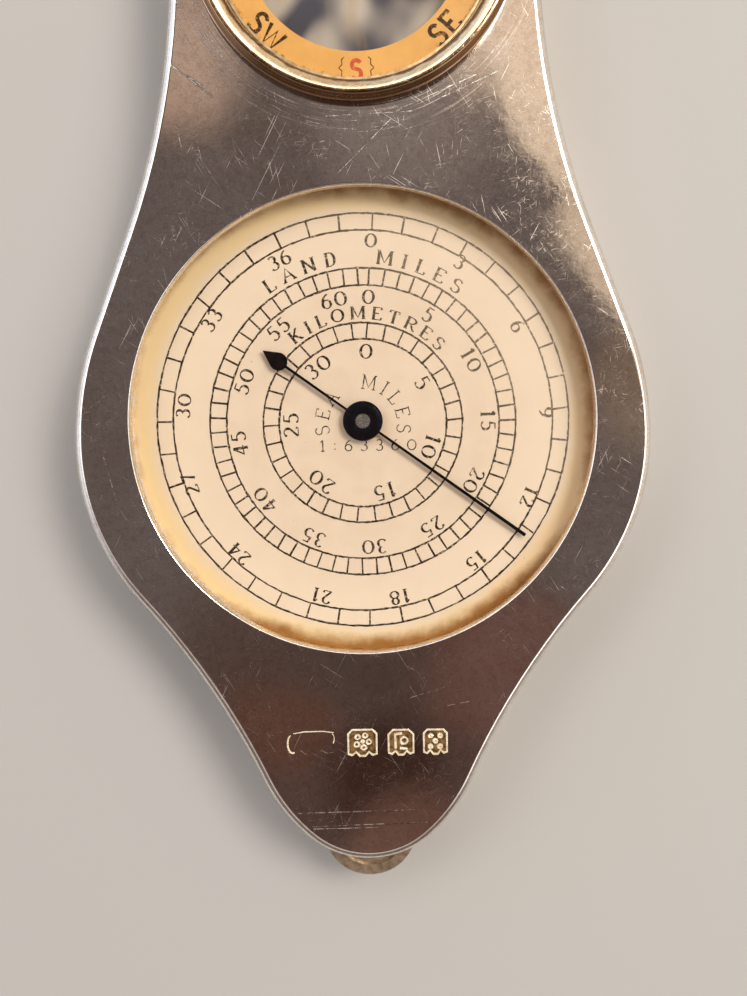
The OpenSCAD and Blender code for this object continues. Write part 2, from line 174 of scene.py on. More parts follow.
def plate(name, points, low, high):
    """A flat plate with an outline of (x, y) points: a circle whose vertices are moved onto the
    outline and drawn up to the plate's thickness."""
    clear_selection()
    bpy.ops.mesh.primitive_circle_add(
        vertices=len(points), radius=MM, fill_type="NGON", location=(0, 0, low * MM)
    )
    obj = bpy.context.object
    obj.name = name
    for vertex, (x, y) in zip(obj.data.vertices, points):
        vertex.co = (x * MM, y * MM, 0)
    bpy.ops.object.transform_apply(location=True)
    bpy.ops.object.mode_set(mode="EDIT")
    bpy.ops.mesh.select_all(action="SELECT")
    step = (0, 0, (high - low) * MM)
    bpy.ops.mesh.extrude_region_move(TRANSFORM_OT_translate={"value": step})
    return close_up(obj)


def round_rim(obj, height, radius, segments):
    """Rounds the edges of a piece that lie at one height."""
    pick(obj)
    select_edges(obj, lambda co: abs(co.z - height * MM) < 1e-6)
    bpy.ops.mesh.bevel(offset=radius * MM, segments=segments, profile=0.5, clamp_overlap=False)
    bpy.ops.object.mode_set(mode="OBJECT")


def cut_away(obj, other, operation="DIFFERENCE"):
    """Takes the other shape out of the piece, or does what else is named with it."""
    pick(obj)
    bpy.ops.object.modifier_add(type="BOOLEAN")
    cut = obj.modifiers[-1]
    cut.operation = operation
    cut.solver = "EXACT"
    cut.object = other
    bpy.ops.object.modifier_apply(modifier=cut.name)
    bpy.data.objects.remove(other)


def merge(obj, other):
    """Joins the other shape to the piece as one solid."""
    cut_away(obj, other, "UNION")


def add_piece(obj, body, material, slot, *nodes):
    """Gives a finished piece its material and body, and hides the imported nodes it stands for."""
    obj.data.materials.clear()
    obj.data.materials.append(material)
    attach(obj, body)
    if nodes:
        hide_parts(*nodes)
    return obj


# ------------------------ outline of the case

# A station is (x, y, heading): a point on the right-hand side, and the direction of the edge
# there in degrees from straight down, positive towards the outside. Below the head the side is
# an arc, a straight flank and four more arcs, each given as (radius, turn, steps).

SHOULDER = (61.6, 21.33, 12)
FLANK = 8.86
SIDE_ARCS = ((25.24, -21.33, 10), (19.77, -40.85, 18), (64.31, 16.63, 10), (14.85, -25.35, 12))


def bend(station, radius, turn, steps):
    """Stations along an arc that starts at a station and turns the edge."""
    x, y, heading = station
    side = math.copysign(1, turn)
    found = []
    for i in range(1, steps + 1):
        h = heading + turn * i / steps
        a, b = math.radians(heading), math.radians(h)
        found.append((
            x + side * radius * (math.cos(a) - math.cos(b)),
            y + side * radius * (math.sin(a) - math.sin(b)),
            h,
        ))
    return found


def case_stations():
    """The whole outline, from the top of the head down the right and up the left."""
    side = [
        (HEAD_R * math.cos(math.radians(h)), COMPASS_Y + HEAD_R * math.sin(math.radians(h)), h)
        for h in range(90, -1, -3)
    ]
    side += bend(side[-1], *SHOULDER)
    x, y, h = side[-1]
    side.append((x + FLANK * math.sin(math.radians(h)), y - FLANK * math.cos(math.radians(h)), h))
    for side_arc in SIDE_ARCS:
        side += bend(side[-1], *side_arc)
    x, y, h = side[-1]
    side += bend(side[-1], x / math.cos(math.radians(h)), -90 - h, 16)
    return side + [(-x, y, 180 - h) for x, y, h in reversed(side[1:-1])]


def case_outline(inset):
    """The outline's points, moved inwards."""
    return [
        (x - inset * math.cos(math.radians(h)), y - inset * math.sin(math.radians(h)))
        for x, y, h in case_stations()
    ]


# ------------------------ shader helpers


class Nodes:
    """Short calls for the nodes that the finishes and the room's light are made of."""

    def __init__(self, owner, coordinates):
        owner.use_nodes = True
        self.nodes, self.links = owner.node_tree.nodes, owner.node_tree.links
        self.place = self.nodes.new("ShaderNodeTexCoord").outputs[coordinates]

    def add(self, kind, inputs=None, **settings):
        """A node, with its settings and with values or links on its input sockets."""
        node = self.nodes.new("ShaderNode" + kind)
        for key, value in settings.items():
            setattr(node, key, value)
        for key, value in (inputs or {}).items():
            self.feed(node.inputs[key], value)
        return node

    def feed(self, socket, value):
        if isinstance(value, bpy.types.NodeSocket):
            self.links.new(value, socket)
        else:
            socket.default_value = value

    def math(self, operation, a, b=0.0, clamp=False):
        return self.add("Math", {0: a, 1: b}, operation=operation, use_clamp=clamp).outputs[0]

    def vector(self, operation, a, b=(0, 0, 0)):
        node = self.add("VectorMath", {0: a, 1: b}, operation=operation)
        return node.outputs["Value" if operation in ("LENGTH", "DOT_PRODUCT") else "Vector"]

    def ramp(self, value, low, high, out_low=0.0, out_high=1.0):
        """A value carried from one range to another, held at its ends."""
        node = self.add("MapRange", {
            "Value": value, "From Min": low, "From Max": high,
            "To Min": out_low, "To Max": out_high,
        }, interpolation_type="SMOOTHSTEP")
        return node.outputs["Result"]

    def mix(self, share, a, b):
        """Colour a, changed to colour b by a share."""
        node = self.add("Mix", data_type="RGBA")
        self.feed(node.inputs[0], share)
        self.feed(node.inputs[6], a)
        self.feed(node.inputs[7], b)
        return node.outputs[2]

    def noise(self, per_mm, detail=3.0, stretch=(1, 1, 1), turn=0.0, shift=(0, 0, 0), rough=0.5):
        """Noise with about per_mm bumps to a millimetre, turned and then stretched."""
        turned_place = self.add("Mapping", {
            "Vector": self.place, "Rotation": (0, 0, math.radians(turn)), "Location": shift,
        }).outputs[0]
        stretched = self.vector("MULTIPLY", turned_place, stretch)
        return self.add("TexNoise", {
            "Vector": stretched, "Scale": per_mm / MM, "Detail": detail, "Roughness": rough,
        }).outputs[0]

    def bump(self, height, strength, depth_mm, before=None):
        """A bump of a height pattern, on top of an earlier one."""
        node = self.add("Bump", {"Height": height, "Strength": strength, "Distance": depth_mm * MM})
        if before is not None:
            self.links.new(before, node.inputs["Normal"])
        return node.outputs[0]

    def flat_place(self):
        """The place on the plan, with no height."""
        return self.vector("MULTIPLY", self.place, (1, 1, 0))

    def radius(self, centre_y):
        """The distance on the plan from a point of the case's middle line, in mm."""
        away = self.vector("SUBTRACT", self.flat_place(), (0, centre_y * MM, 0))
        return self.math("DIVIDE", self.vector("LENGTH", away), MM)

    def towards(self, x, y):
        """How far a place lies in a direction of the plan, in mm."""
        return self.vector("DOT_PRODUCT", self.place, (x / MM, y / MM, 0))

    def line(self, start, end, half_width):
        """1 on a straight scratch between two points of the plan, and 0 away from it."""
        a = Vector((start[0], start[1], 0)) * MM
        b = Vector((end[0], end[1], 0)) * MM
        along = (b - a).normalized()
        away = self.vector("SUBTRACT", self.flat_place(), a)
        reach = self.vector("DOT_PRODUCT", away, along)
        reach = self.math("MINIMUM", self.math("MAXIMUM", reach, 0.0), (b - a).length)
        foot = self.add("VectorMath", {0: along, "Scale": reach}, operation="SCALE").outputs[0]
        distance = self.vector("LENGTH", self.vector("SUBTRACT", away, foot))
        return self.ramp(distance, 0.0, half_width * MM, 1.0, 0.0)


class Shader(Nodes):
    """A node material with a Principled surface."""

    def __init__(self, name):
        self.material = bpy.data.materials.new(name)
        super().__init__(self.material, "Object")
        self.surface = self.nodes["Principled BSDF"]

    def set(self, **inputs):
        """Values or links for the Principled node, with underscores for spaces."""
        for key, value in inputs.items():
            self.feed(self.surface.inputs[key.replace("_", " ")], value)


# ------------------------ finishes


def scratch_field(shader, per_mm, length_mm, turns, low, high, seed):
    """Fine straight scratches in several directions, each a few millimetres long."""
    total = None
    for i, turn in enumerate(turns):
        shift = (0.013 * (i + seed), 0.007 * (i * 3 + seed), 0.002 * i)
        streak = shader.noise(1.0, 1.0, (1 / length_mm, per_mm, 0.02), turn, shift)
        fine = shader.ramp(streak, low, high)
        total = fine if total is None else shader.math("MAXIMUM", total, fine)
    return total


def silver(name, named_scratches=()):
    """Old polished sterling: a mirror worn by countless fine scratches, and a little tarnished."""
    s = Shader(name)
    fine = scratch_field(s, 15, 1.1, (12, 57, 96, 141, 168), 0.67, 0.77, 1)
    rubbed = s.ramp(s.noise(0.25, 3.0), 0.36, 0.68, 0.25, 1.0)
    fine = s.math("MULTIPLY", fine, rubbed)
    nicks = scratch_field(s, 15, 0.9, (25, 78, 125), 0.79, 0.86, 21)
    long = scratch_field(s, 10, 4.0, (33, 58, 79, 118), 0.69, 0.77, 9)
    long = s.math("MULTIPLY", long, s.ramp(s.noise(0.3, 3.0, shift=(0.03, 0, 0)), 0.42, 0.6, 0.1, 1.0))
    named = None
    for start, end, half_width in named_scratches:
        mark = s.line(start, end, half_width)
        named = mark if named is None else s.math("MAXIMUM", named, mark)
    named = s.math("MULTIPLY", named, s.ramp(s.noise(1.3, 5.0, rough=0.7), 0.36, 0.62, 0.1, 0.9))
    swirl = s.noise(1.8, 6.0, rough=0.8)
    grain = s.noise(7.0, 3.0, rough=0.8)
    tarnish = s.ramp(s.noise(0.11, 5.0, rough=0.6), 0.40, 0.72)
    tone = s.mix(tarnish, (0.95, 0.91, 0.87, 1), (0.80, 0.72, 0.65, 1))
    tone = s.mix(s.ramp(swirl, 0.45, 0.65, 0.0, 0.45), tone, (0.55, 0.47, 0.43, 1))
    tone = s.mix(s.ramp(grain, 0.45, 0.75, 0.0, 0.5), tone, (0.45, 0.38, 0.34, 1))
    haze = s.ramp(s.noise(0.6, 6.0, rough=0.7), 0.3, 0.75, 0.035, 0.085)
    # Rubbing has left fine arcs round the compass
    split = s.add("SeparateXYZ", {0: s.vector("SUBTRACT", s.place, (0, COMPASS_Y * MM, 0))})
    radius = s.radius(COMPASS_Y)
    angle = s.math("ARCTAN2", split.outputs[0], split.outputs[1])
    spread = s.add("CombineXYZ", {0: s.math("MULTIPLY", radius, 9.0), 1: s.math("MULTIPLY", angle, 2.5)})
    arcs = s.add("TexNoise", {"Vector": spread.outputs[0], "Scale": 1.0, "Detail": 3.0}).outputs[0]
    arcs = s.math("MULTIPLY", s.ramp(arcs, 0.46, 0.68), s.ramp(radius, 17.2, 14.2))
    for scratches, dulled in ((fine, 0.24), (nicks, 0.18), (long, 0.27), (named, 0.38), (arcs, 0.19)):
        haze = s.math("ADD", haze, s.math("MULTIPLY", scratches, dulled))
    wave = s.bump(s.noise(0.05, 1.0), 0.6, 0.25)
    soft = s.bump(s.noise(1.1, 2.0), 0.05, 0.05, wave)
    cuts = s.bump(s.math("SUBTRACT", 1.0, s.math("MAXIMUM", fine, long)), 0.022, 0.012, soft)
    pits = s.bump(s.math("SUBTRACT", 1.0, nicks), 0.05, 0.03, cuts)
    deep = s.bump(s.math("SUBTRACT", 1.0, named), 0.22, 0.04, pits)
    s.set(Base_Color=tone, Metallic=1.0, Roughness=haze, Normal=deep)
    return s.material


def plain_metal(name, colour, dark, roughness, brushed=(1, 1, 1)):
    """A turned or rolled metal: a tone that drifts, with fine working lines."""
    s = Shader(name)
    drift = s.ramp(s.noise(1.5, 5.0), 0.35, 0.7)
    s.set(Base_Color=s.mix(drift, (*colour, 1), (*dark, 1)), Metallic=1.0)
    lines = s.noise(12.0, 3.0, brushed)
    s.set(
        Roughness=s.ramp(lines, 0.3, 0.7, roughness, roughness + 0.15),
        Normal=s.bump(lines, 0.15, 0.02),
    )
    return s.material


def aged_paper():
    """Cream card with a mottle and dark specks, yellowed close to its rim. Painted light makes it lighter
    towards the rim, and its very edge turns dark brown, partly the card's own staining and partly painted
    shade under the window's edge, most at the bottom and upper right.
    """
    s = Shader("aged_paper")
    radius = s.radius(WINDOW_Y)
    ragged = s.math("MULTIPLY", s.math("SUBTRACT", s.noise(0.5, 4.0, rough=0.6), 0.5), 1.5)
    edge = s.math("ADD", radius, ragged)
    cream = s.mix(s.ramp(s.noise(0.35, 6.0, rough=0.65), 0.3, 0.75),
                  (0.85, 0.71, 0.575, 1), (0.79, 0.645, 0.51, 1))
    grain = s.ramp(s.noise(9.0, 3.0), 0.3, 0.8, 0.0, 0.25)
    cream = s.mix(grain, cream, (0.68, 0.55, 0.42, 1))
    # Painted light: the card is made lighter towards its rim, to make up for the shade that the window's
    # wall casts there.
    cream = s.mix(s.ramp(radius, 9.0, 17.0, 0.0, 0.6), cream, (0.93, 0.79, 0.64, 1))
    yellowed = s.mix(s.ramp(edge, 17.2, 18.5), cream, (0.94, 0.75, 0.46, 1))
    right_side = s.ramp(s.towards(1, -0.1), 6.0, 15.0)
    tanned = s.math("MULTIPLY", right_side, s.ramp(edge, 17.4, 18.6, 0.0, 0.8))
    yellowed = s.mix(tanned, yellowed, (0.95, 0.70, 0.45, 1))
    # Staining and painted shade: the rim turns dark brown, wider at the bottom and upper right, where the
    # window's edge shades the card.
    low_side = s.ramp(s.towards(0.2, -1), 10.2, 18.2, 0.0, 1.2)
    top_side = s.ramp(s.towards(0.72, 0.70), 5.86, 15.86, 0.0, 0.7)
    rim = s.ramp(s.math("ADD", edge, s.math("MAXIMUM", low_side, top_side)), 18.9, 20.4)
    browned_and_shaded = s.mix(rim, yellowed, (0.36, 0.165, 0.045, 1))
    specks = s.ramp(s.noise(3.4, 2.0, shift=(0.02, 0.01, 0)), 0.76, 0.80)
    s.set(Base_Color=s.mix(s.math("MULTIPLY", specks, 0.8), browned_and_shaded, (0.16, 0.09, 0.05, 1)))
    s.set(Roughness=0.9, Specular_IOR_Level=0.2, Normal=s.bump(s.noise(14.0, 4.0), 0.25, 0.01))
    return s.material


def printing_ink(name, colour, paper, worn=0.62, faded=0.0):
    """Ink that has rubbed off in places, most towards the upper right, so that paper shows."""
    s = Shader(name)
    rubbed = s.ramp(s.noise(0.7, 4.0, rough=0.7), worn, worn + 0.16)
    broken = s.ramp(s.noise(5.0, 4.0, rough=0.7), 0.52, 0.66)
    share = s.math("ADD", s.math("MULTIPLY", rubbed, 0.5), s.math("MULTIPLY", broken, 0.7), True)
    share = s.math("ADD", share, s.ramp(s.towards(0.75, 0.66), 3.0, 17.0, 0.0, faded), True)
    s.set(Base_Color=s.mix(share, (*colour, 1), (*paper, 1)), Roughness=0.9, Specular_IOR_Level=0.15)
    return s.material


def blued_steel(name, colour, spots):
    """Dark heat-blued steel with a freckle of rust and bright specks."""
    s = Shader(name)
    freckle = s.ramp(s.noise(9.0, 4.0, rough=0.7), 0.62, 0.70)
    sheen = s.ramp(s.noise(1.2, 3.0), 0.35, 0.7)
    tone = s.mix(sheen, (*colour, 1), (0.001, 0.001, 0.003, 1))
    s.set(Base_Color=s.mix(freckle, tone, (*spots, 1)), Metallic=1.0)
    s.set(Roughness=s.ramp(s.noise(5.0, 3.0), 0.3, 0.7, 0.28, 0.5))
    s.set(Normal=s.bump(s.noise(8.0, 4.0), 0.3, 0.02))
    return s.material


def gilt():
    """Worn gilding: pale gold with rubbed spots. Both sides of the crown are brown: some tarnish, and
    painted shade and dark reflection on the outer flank and in the gap at the inner lip.
    """
    s = Shader("worn_gilt")
    radius = s.radius(COMPASS_Y)
    ragged = s.math("ADD", radius, s.math("MULTIPLY", s.noise(0.9, 5.0), 0.5))
    # Painted shade and dark reflection, with some tarnish: brown on the outer flank and at the inner lip.
    low = s.math("MAXIMUM", s.ramp(ragged, 12.55, 12.8), s.ramp(ragged, 12.05, 11.85))
    rub = s.ramp(s.noise(1.1, 6.0, rough=0.7), 0.55, 0.72)
    warm = s.mix(s.ramp(s.noise(0.4, 4.0), 0.35, 0.7), (0.92, 0.74, 0.50, 1), (0.80, 0.58, 0.36, 1))
    warm = s.mix(s.math("MULTIPLY", rub, 0.4), warm, (0.70, 0.50, 0.30, 1))
    s.set(Base_Color=s.mix(s.math("MULTIPLY", low, 0.92), warm, (0.20, 0.10, 0.045, 1)), Metallic=1.0)
    scuffs = scratch_field(s, 14, 2.0, (20, 80, 140), 0.66, 0.72, 4)
    s.set(Roughness=s.math("ADD", s.ramp(rub, 0.0, 1.0, 0.12, 0.28), s.math("MULTIPLY", scuffs, 0.15)))
    s.set(Normal=s.bump(s.math("SUBTRACT", 1.0, scuffs), 0.15, 0.015))
    return s.material


def compass_card_paint():
    """Orange-yellow paint with a paler drift and a dirty, chipped outer edge."""
    s = Shader("compass_card_paint")
    radius = s.radius(COMPASS_Y)
    base = s.mix(s.ramp(s.noise(0.5, 4.0), 0.35, 0.7), (0.86, 0.47, 0.13, 1), (0.78, 0.41, 0.10, 1))
    grime = s.math("ADD", radius, s.math("MULTIPLY", s.math("SUBTRACT", s.noise(3.0, 5.0), 0.5), 1.5))
    paint = s.mix(s.ramp(grime, 10.6, 11.2), base, (0.16, 0.07, 0.02, 1))
    s.set(Base_Color=paint, Roughness=s.ramp(s.noise(2.0, 3.0), 0.3, 0.7, 0.45, 0.65))
    s.set(Normal=s.bump(s.noise(10.0, 3.0), 0.15, 0.01))
    return s.material


def compass_floor():
    """A silvered plate with painted reflections: cloudy cream blotches and bronze streaks stand for a warm
    lamp mirrored in it, and the dark slate-grey ground partly for the dark room.
    """
    s = Shader("silvered_plate_painted_reflections")
    # Painted reflection: cream blotches of a warm lamp mirrored in the plate.
    painted_lamp_reflection = s.ramp(s.noise(0.2, 1.5, (1, 0.7, 1), 20, (0.004, 0.002, 0)), 0.38, 0.64)
    # Painted reflection: bronze streaks of the same lamp.
    bronze = s.ramp(s.noise(0.42, 3.0, (1, 0.4, 1), shift=(0.011, 0, 0)), 0.55, 0.72)
    # The dark slate ground is partly a painted reflection of the dark room.
    tone = s.mix(painted_lamp_reflection, (0.075, 0.075, 0.105, 1), (0.62, 0.56, 0.50, 1))
    tone = s.mix(s.math("MULTIPLY", bronze, 0.45), tone, (0.50, 0.34, 0.17, 1))
    lines = s.noise(9.0, 3.0, (1, 0.05, 1))
    s.set(Base_Color=tone, Metallic=0.35, Roughness=s.ramp(lines, 0.3, 0.7, 0.35, 0.45))
    s.set(Normal=s.bump(lines, 0.06, 0.01))
    return s.material


def watch_glass():
    """Thin clear glass: it passes light and mirrors a little, more where it is seen aslant. A pale patch on
    the ground bevel on the left is painted glare."""
    s = Shader("watch_glass")
    clear = s.add("BsdfTransparent", {"Color": (0.99, 0.985, 0.97, 1)})
    shine = s.add("BsdfGlossy", {"Color": (1, 1, 1, 1), "Roughness": 0.04})
    slant = s.add("LayerWeight", {"Blend": 0.5}).outputs["Facing"]
    share = s.math("ADD", s.math("MULTIPLY", s.math("POWER", slant, 5.0), 0.9), 0.03)
    both = s.add("MixShader", {0: share, 1: clear.outputs[0], 2: shine.outputs[0]})
    # Painted glare: a pale diffuse patch on the left of the ground bevel, standing for light that glints on
    # it.
    painted_glare = s.add("BsdfDiffuse", {"Color": (0.78, 0.72, 0.64, 1)})
    left = s.ramp(s.towards(-0.93, -0.37), 13.0, 18.0)
    kept = s.math("MULTIPLY", left, s.ramp(s.noise(1.1, 5.0), 0.38, 0.60, 0.15, 0.8))
    flat_r = GLASS_R - GLASS_BEVEL
    kept = s.math("MULTIPLY", kept, s.ramp(s.radius(WINDOW_Y), flat_r - 0.12, flat_r + 0.08))
    height = s.add("SeparateXYZ", {0: s.place}).outputs[2]
    kept = s.math("MULTIPLY", kept, s.ramp(height, (GLASS_TOP - 0.5) * MM, (GLASS_TOP - 0.35) * MM))
    glass_with_painted_glare = s.add("MixShader", {0: kept, 1: both.outputs[0], 2: painted_glare.outputs[0]})
    output = next(n for n in s.nodes if n.type == "OUTPUT_MATERIAL")
    s.links.new(glass_with_painted_glare.outputs[0], output.inputs["Surface"])
    s.nodes.remove(s.surface)
    return s.material


# ------------------------ pen strokes for the printing

# A stroke is a list of (x, y) points on a letter 1 high, standing on y = 0. Curves are arcs.


ARC_STEP = 18


def arc(cx, cy, rx, ry, start, end):
    """Points along part of an ellipse, from one angle to another."""
    count = max(2, round(abs(end - start) / ARC_STEP))
    angles = [math.radians(start + (end - start) * i / count) for i in range(count + 1)]
    return [(cx + rx * math.cos(a), cy + ry * math.sin(a)) for a in angles]


def serif(x, y, half=0.11):
    """A short flat line that finishes the end of a stem."""
    return [(x - half, y), (x + half, y)]


def stem(x, low=0, high=1):
    return [(x, low), (x, high)]


def bowl(x, y, half):
    """The round side of a letter, between two short straight lines from its stem."""
    return [(0.14, y + half), (x, y + half)] + arc(x, y, 0.36 - half * 0.2, half, 72, -72) + [
        (x, y - half), (0.14, y - half)]


# A sign is its width and its strokes
GLYPHS = {
    "0": (0.72, [arc(0.36, 0.46, 0.32, 0.46, 90, 450)]),
    "1": (0.44, [stem(0.24), [(0.08, 0.80), (0.24, 1)], serif(0.24, 0, 0.14)]),
    "2": (0.60, [arc(0.29, 0.72, 0.23, 0.27, 165, -35) + [(0.06, 0.03)],
         [(0.06, 0.03), (0.54, 0.03), (0.56, 0.18)]]),
    "3": (0.58, [arc(0.27, 0.75, 0.20, 0.24, 150, -80), arc(0.27, 0.26, 0.25, 0.27, 88, -150)]),
    "4": (0.64, [[(0.44, 1), (0.05, 0.30), (0.62, 0.30)], stem(0.44), serif(0.44, 0)]),
    "5": (0.58, [[(0.50, 0.97), (0.16, 0.97), (0.12, 0.56)], arc(0.26, 0.31, 0.26, 0.31, 120, -145)]),
    "6": (0.62, [arc(0.31, 0.29, 0.25, 0.29, 90, 450), arc(0.54, 0.30, 0.48, 0.68, 100, 180)]),
    "7": (0.58, [[(0.06, 0.84), (0.07, 0.97), (0.54, 0.97), (0.22, 0)]]),
    "8": (0.60, [arc(0.30, 0.75, 0.20, 0.24, 90, 450), arc(0.30, 0.26, 0.25, 0.26, 90, 450)]),
    "9": (0.62, [arc(0.31, 0.69, 0.25, 0.29, 90, 450), arc(0.08, 0.68, 0.48, 0.68, 0, -82)]),
    ":": (0.26, [stem(0.13, 0.12, 0.24), stem(0.13, 0.58, 0.70)]),
    "A": (0.76, [[(0.08, 0), (0.38, 1), (0.68, 0)], [(0.20, 0.36), (0.56, 0.36)],
         serif(0.08, 0), serif(0.68, 0)]),
    "D": (0.74, [stem(0.14), bowl(0.30, 0.5, 0.5), serif(0.10, 1, 0.07), serif(0.10, 0, 0.07)]),
    "E": (0.64, [stem(0.14), [(0.04, 1), (0.56, 1), (0.57, 0.84)], [(0.14, 0.52), (0.44, 0.52)],
         [(0.04, 0), (0.57, 0), (0.60, 0.18)]]),
    "I": (0.34, [stem(0.17), serif(0.17, 0), serif(0.17, 1)]),
    "K": (0.74, [stem(0.16), serif(0.16, 0), serif(0.16, 1), [(0.62, 1), (0.18, 0.42)],
         [(0.32, 0.58), (0.64, 0)], serif(0.62, 1, 0.08), serif(0.66, 0, 0.08)]),
    "L": (0.60, [stem(0.16), serif(0.16, 1), [(0.05, 0), (0.54, 0), (0.57, 0.20)]]),
    "M": (0.90, [stem(0.12), [(0.12, 1), (0.45, 0.12), (0.78, 1)], stem(0.78), serif(0.12, 0),
         serif(0.78, 0), serif(0.08, 1, 0.07), serif(0.82, 1, 0.07)]),
    "N": (0.78, [stem(0.12), [(0.12, 1), (0.64, 0)], stem(0.64), serif(0.12, 0), serif(0.64, 1),
         serif(0.08, 1, 0.07)]),
    "O": (0.78, [arc(0.39, 0.5, 0.34, 0.5, 90, 450)]),
    "R": (0.72, [stem(0.14), bowl(0.32, 0.75, 0.25), [(0.34, 0.5), (0.64, 0)], serif(0.14, 0),
         serif(0.14, 1), serif(0.66, 0, 0.07)]),
    "S": (0.58, [arc(0.29, 0.76, 0.21, 0.24, 25, 230) + arc(0.29, 0.26, 0.23, 0.27, 60, -155)]),
    "T": (0.68, [stem(0.34), serif(0.34, 0), [(0.05, 0.82), (0.06, 1), (0.62, 1), (0.63, 0.82)]]),
    "W": (0.92, [[(0.06, 1), (0.26, 0.03), (0.46, 0.86), (0.66, 0.03), (0.86, 1)]]),
    "{": (0.40, [[(0.36, 1.1), (0.22, 0.98), (0.24, 0.72), (0.06, 0.55)],
         [(0.06, 0.55), (0.24, 0.38), (0.20, 0.12), (0.34, 0.0)]]),
    "}": (0.40, [[(0.04, 1.1), (0.18, 0.98), (0.16, 0.72), (0.34, 0.55)],
         [(0.34, 0.55), (0.16, 0.38), (0.20, 0.12), (0.06, 0.0)]]),
}


class Pen:
    """Draws strokes as one curve object: thick down the page and thin across it, like a graver.
    Signs are stretched across the page by the pen's width setting."""

    def __init__(self, name, thick, thin, surface_z, wide=1.0):
        self.curve = bpy.data.curves.new(name, "CURVE")
        self.curve.dimensions = "3D"
        self.curve.bevel_depth = MM
        self.curve.bevel_resolution = 1
        self.curve.use_fill_caps = True
        self.thick, self.thin = thick / 2, thin / 2
        self.surface_z = surface_z
        self.wide = wide
        self.shake = random.Random(7)

    def stroke(self, points, widths, closed=False):
        """A line through (x, y) points, or (x, y, height over the surface) ones."""
        spline = self.curve.splines.new("POLY")
        spline.points.add(len(points) - 1)
        for place, (x, y, *lift), width in zip(spline.points, points, widths):
            place.co = (x * MM, y * MM, (self.surface_z + sum(lift)) * MM, 1)
            place.radius = width
        spline.use_cyclic_u = closed

    def sign(self, char, size, place, up):
        """A sign whose middle of the base line is at a place, with its top along up."""
        width, strokes = GLYPHS[char]
        across = Vector((up.y, -up.x)) * self.wide
        for points in strokes:
            placed, widths = [], []
            for i, (x, y) in enumerate(points):
                placed.append(place + across * (x - width / 2) * size + up * y * size)
                x0, y0 = points[max(i - 1, 0)]
                x1, y1 = points[min(i + 1, len(points) - 1)]
                steep = abs(y1 - y0) / max(math.hypot((x1 - x0) * self.wide, y1 - y0), 1e-9)
                widths.append(self.thin + (self.thick - self.thin) * steep ** 2)
            self.stroke(placed, widths)

    def words(self, text, size, centre, radius, clock, gap, space=0.7, inward=False):
        """Words bent round an arc, with the middle of the text at a clock angle."""
        widths = [space + gap if c == " " else GLYPHS[c][0] * self.wide + gap for c in text]
        turn = -1 if inward else 1
        cursor = -sum(widths) * size / 2
        for char, width in zip(text, widths):
            angle = clock + turn * math.degrees((cursor + width * size / 2) / radius)
            out = outward(angle)
            if char != " ":
                self.sign(char, size, centre + out * radius, -out if inward else out)
            cursor += width * size

    def straight(self, text, size, middle, up, gap):
        """Signs on a straight base line, with the middle of the text at a place."""
        across = Vector((up.y, -up.x))
        widths = [(GLYPHS[c][0] * self.wide + gap) * size for c in text]
        cursor = -sum(widths) / 2
        for char, width in zip(text, widths):
            self.sign(char, size, middle + across * (cursor + width / 2), up)
            cursor += width

    def ring(self, centre, radius, width, points):
        """A circle whose line swells and wavers a little."""
        places = [
            centre + outward(360 * i / points) * (radius + width * self.shake.uniform(-0.12, 0.12))
            for i in range(points)
        ]
        self.stroke(places, [width / 2 * self.shake.uniform(0.7, 1.2) for _ in places], closed=True)

    def tick(self, centre, inner, outer, clock, width):
        """A short line across a scale, seldom quite straight at its angle."""
        ends = [clock + self.shake.uniform(-0.4, 0.4) / outer * 9 for _ in range(2)]
        self.stroke([centre + outward(ends[0]) * inner, centre + outward(ends[1]) * outer],
                    [width / 2 * self.shake.uniform(0.8, 1.2) for _ in range(2)])

    def lay_down(self, flat):
        """The strokes as a mesh, pressed almost flat onto the surface."""
        obj = bpy.data.objects.new(self.curve.name, self.curve)
        bpy.context.collection.objects.link(obj)
        pick(obj)
        bpy.ops.object.convert(target="MESH")
        obj = bpy.context.object
        bpy.ops.transform.resize(value=(1, 1, flat), center_override=(0, 0, self.surface_z * MM))
        return settle(obj, 60, weighted=False)


def rise(points, height):
    """The points of a stroke, lifted over the pen's surface."""
    return [(x, y, height) for x, y in points]


def outward(clock):
    """The direction on the plan of a clock angle: 0 towards the compass, 90 to the right."""
    return Vector((math.sin(math.radians(clock)), math.cos(math.radians(clock))))


# ------------------------ silver case

SILVER = silver("old_silver", (
    ((-16.1, 29.5), (-11.4, 25.8), 0.09),
    ((-15.6, 28.9), (-11.9, 26.5), 0.07),
    ((-6.0, -33.1), (3.8, -32.95), 0.08),
    ((-4.9, -34.3), (4.9, -34.05), 0.07),
    ((-4.9, -34.5), (1.0, -34.45), 0.05),
    ((3.3, -23.3), (6.2, -22.4), 0.05),
    ((6.4, -24.0), (8.6, -23.6), 0.04),
    ((-1.6, 19.8), (3.4, 24.6), 0.03),
    ((-21.3, -2.6), (-20.3, -6.6), 0.05),
    ((-2.5, 24.2), (4.5, 24.5), 0.06),
    ((2.8, 24.4), (9.5, 27.2), 0.05),
    ((7.0, 25.6), (11.6, 27.6), 0.05),
))


def rounded_window():
    """A tool that cuts the dial's round opening, whose top edge is rolled over."""
    roll = [
        (WINDOW_R + WINDOW_EDGE * (1 - math.cos(a)), CASE_H - WINDOW_EDGE * (1 - math.sin(a)))
        for a in [math.radians(90 * i / 6) for i in range(7)]
    ]
    profile = [(WINDOW_R, OPENING_LOW)] + roll + [(WINDOW_R + WINDOW_EDGE, CASE_H + 1)]
    return turned("window", profile, (0, WINDOW_Y), 192)


